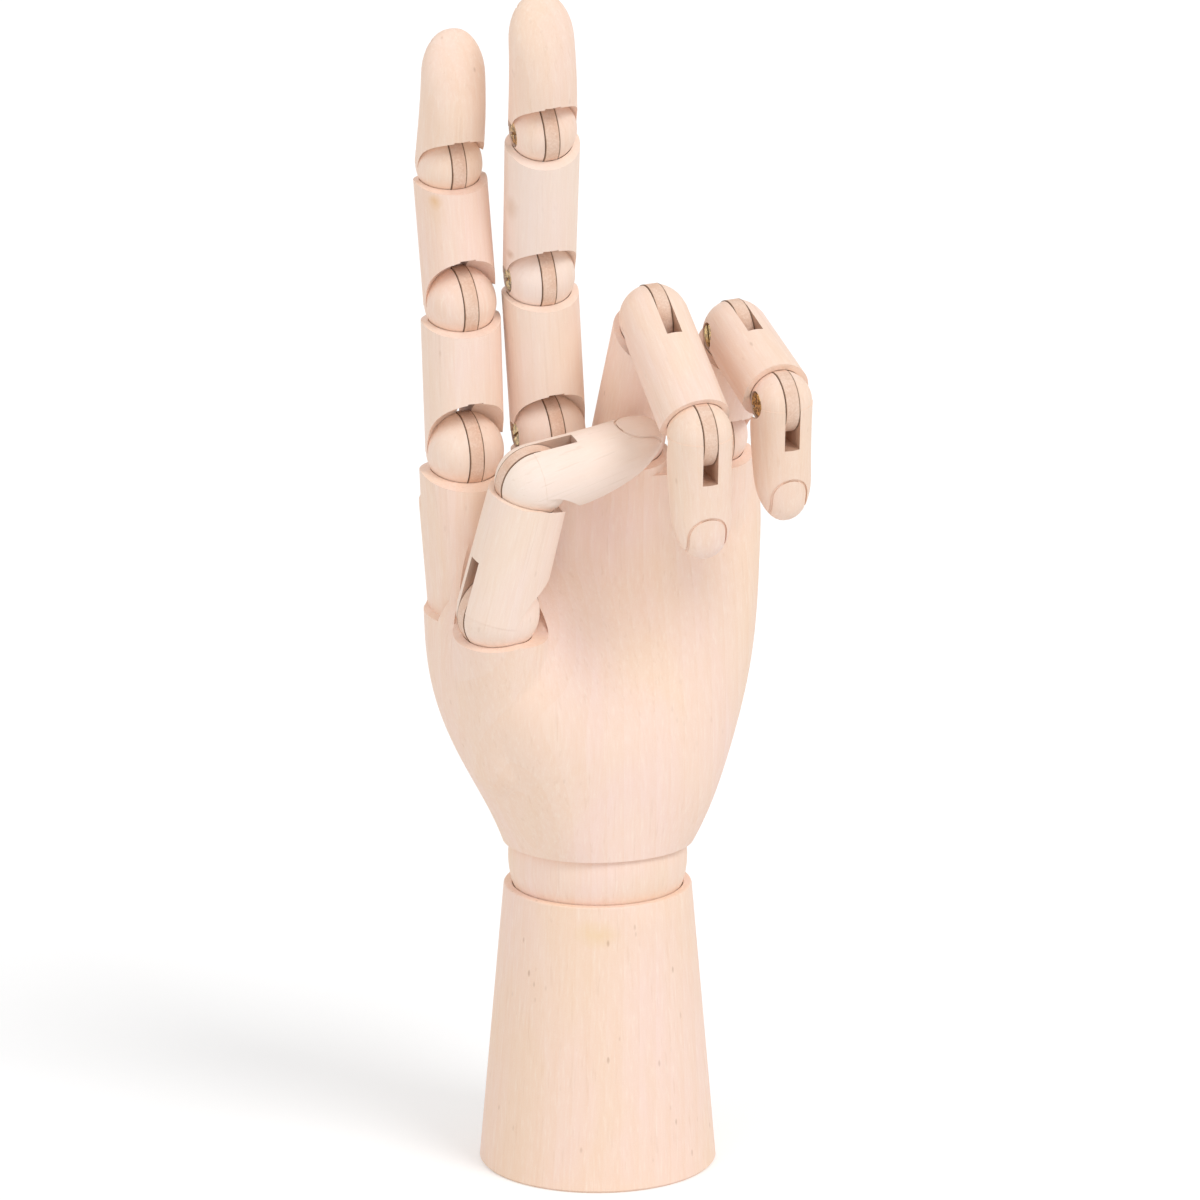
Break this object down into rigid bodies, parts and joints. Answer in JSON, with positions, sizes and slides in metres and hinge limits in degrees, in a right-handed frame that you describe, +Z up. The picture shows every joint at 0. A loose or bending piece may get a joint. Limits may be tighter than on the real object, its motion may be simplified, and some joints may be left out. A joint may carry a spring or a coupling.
{
  "type": "wooden hand mannequin",
  "caption": "Jointed wooden left hand on a conical forearm stand, with ball-and-tongue finger joints, brass joint screws and a swivelling wrist ball.",
  "frame": {"origin": "centre of the forearm stand's flat foot", "axes": "+Z up along the forearm, -Y the way the palm faces, -X the thumb's side"},
  "size_m": [0.0884, 0.0893, 0.3031],
  "materials": {
    "limewood": "matt sanded",
    "tongue_wood": "matt sanded",
    "brass_screw": "dull",
    "zinc_steel": "satin"
  },
  "bodies": {
    "forearm_stand": {"forearm": "limewood", "wrist_spring": "zinc_steel"},
    "wrist_swivel_ball": {"wrist_ball": "limewood", "wrist_bolt": "zinc_steel", "wrist_washer": "zinc_steel", "wrist_nut": "zinc_steel", "wrist_pin": "zinc_steel"},
    "palm_block": {"palm": "limewood", "palm_tongue": "tongue_wood", "index_knuckle_tongue": "tongue_wood", "middle_knuckle_tongue": "tongue_wood", "ring_knuckle_tongue": "tongue_wood", "little_knuckle_tongue": "tongue_wood", "thumb_knuckle_tongue": "tongue_wood"},
    "index_proximal_segment": {"index_proximal": "limewood", "index_knuckle_screw": "brass_screw", "index_middle_tongue": "tongue_wood"},
    "index_middle_segment": {"index_middle": "limewood", "index_middle_screw": "brass_screw", "index_tip_tongue": "tongue_wood"},
    "index_tip_segment": {"index_tip": "limewood", "index_tip_screw": "brass_screw"},
    "middle_proximal_segment": {"middle_proximal": "limewood", "middle_knuckle_screw": "brass_screw", "middle_middle_tongue": "tongue_wood"},
    "middle_middle_segment": {"middle_middle": "limewood", "middle_middle_screw": "brass_screw", "middle_tip_tongue": "tongue_wood"},
    "middle_tip_segment": {"middle_tip": "limewood", "middle_tip_screw": "brass_screw"},
    "ring_proximal_segment": {"ring_proximal": "limewood", "ring_knuckle_screw": "brass_screw", "ring_middle_tongue": "tongue_wood"},
    "ring_middle_segment": {"ring_middle": "limewood", "ring_middle_screw": "brass_screw", "ring_tip_tongue": "tongue_wood"},
    "ring_tip_segment": {"ring_tip": "limewood", "ring_tip_screw": "brass_screw"},
    "little_proximal_segment": {"little_proximal": "limewood", "little_knuckle_screw": "brass_screw", "little_middle_tongue": "tongue_wood"},
    "little_middle_segment": {"little_middle": "limewood", "little_middle_screw": "brass_screw", "little_tip_tongue": "tongue_wood"},
    "little_tip_segment": {"little_tip": "limewood", "little_tip_screw": "brass_screw"},
    "thumb_proximal_segment": {"thumb_proximal": "limewood", "thumb_knuckle_screw": "brass_screw", "thumb_tip_tongue": "tongue_wood"},
    "thumb_tip_segment": {"thumb_tip": "limewood", "thumb_tip_screw": "brass_screw"}
  },
  "joints": [
    {"name": "wrist_swivel", "type": "hinge", "parent": "forearm_stand", "child": "wrist_swivel_ball", "pos_m": [0, 0, 0.0795], "axis": [0, 0, 1], "continuous": true},
    {"name": "wrist_flex", "type": "hinge", "parent": "wrist_swivel_ball", "child": "palm_block", "pos_m": [0, 0, 0.0795], "axis": [1, 0, 0], "range_deg": [-25, 25]},
    {"name": "index_knuckle_joint", "type": "hinge", "parent": "palm_block", "child": "index_proximal_segment", "pos_m": [-0.0348, -0.002, 0.1865], "axis": [0.9992, 0.0297, 0.0279], "range_deg": [-10, 40]},
    {"name": "index_middle_joint", "type": "hinge", "parent": "index_proximal_segment", "child": "index_middle_segment", "pos_m": [-0.03584, -0.00203, 0.22369], "axis": [0.9971, 0.0296, 0.0698], "range_deg": [-10, 85]},
    {"name": "index_tip_joint", "type": "hinge", "parent": "index_middle_segment", "child": "index_tip_segment", "pos_m": [-0.03828, -0.0012, 0.25819], "axis": [0.998, 0.0293, 0.0558], "range_deg": [-30, 60]},
    {"name": "middle_knuckle_joint", "type": "hinge", "parent": "palm_block", "child": "middle_proximal_segment", "pos_m": [-0.0134, -0.002, 0.1899], "axis": [0.9967, -0.0104, 0.0802], "range_deg": [-10, 40]},
    {"name": "middle_middle_joint", "type": "hinge", "parent": "middle_proximal_segment", "child": "middle_middle_segment", "pos_m": [-0.01663, -0.00504, 0.22965], "axis": [0.9979, -0.0092, 0.0646], "range_deg": [-20, 80]},
    {"name": "middle_tip_joint", "type": "hinge", "parent": "middle_middle_segment", "child": "middle_tip_segment", "pos_m": [-0.01924, -0.01641, 0.26833], "axis": [0.9941, -0.0215, 0.1063], "range_deg": [-12, 80]},
    {"name": "ring_knuckle_joint", "type": "hinge", "parent": "palm_block", "child": "ring_proximal_segment", "pos_m": [0.0074, -0.002, 0.1873], "axis": [-0.9978, -0.0436, -0.0506], "range_deg": [0, 40]},
    {"name": "ring_middle_joint", "type": "hinge", "parent": "ring_proximal_segment", "child": "ring_middle_segment", "pos_m": [0.00663, -0.02377, 0.22121], "axis": [-0.9978, -0.0436, -0.0506], "range_deg": [0, 100]},
    {"name": "ring_tip_joint", "type": "hinge", "parent": "ring_middle_segment", "child": "ring_tip_segment", "pos_m": [0.00899, -0.05163, 0.19869], "axis": [-0.9978, -0.0436, -0.0506], "range_deg": [-25, 65]},
    {"name": "little_knuckle_joint", "type": "hinge", "parent": "palm_block", "child": "little_proximal_segment", "pos_m": [0.0298, -0.002, 0.1855], "axis": [-0.9959, -0.0784, -0.0454], "range_deg": [-15, 36]},
    {"name": "little_middle_joint", "type": "hinge", "parent": "little_proximal_segment", "child": "little_middle_segment", "pos_m": [0.0297, -0.01774, 0.21484], "axis": [-0.9958, -0.0718, -0.0577], "range_deg": [-8, 90]},
    {"name": "little_tip_joint", "type": "hinge", "parent": "little_middle_segment", "child": "little_tip_segment", "pos_m": [0.03228, -0.04437, 0.20339], "axis": [-0.9965, -0.0638, -0.0542], "range_deg": [-12, 80]},
    {"name": "thumb_knuckle_joint", "type": "hinge", "parent": "palm_block", "child": "thumb_proximal_segment", "pos_m": [-0.0322, -0.0205, 0.1499], "axis": [0.1441, -0.9641, -0.2233], "range_deg": [-5, 45]},
    {"name": "thumb_tip_joint", "type": "hinge", "parent": "thumb_proximal_segment", "child": "thumb_tip_segment", "pos_m": [-0.02571, -0.0274, 0.1839], "axis": [0.1369, -0.9558, -0.2601], "range_deg": [-10, 75]}
  ]
}
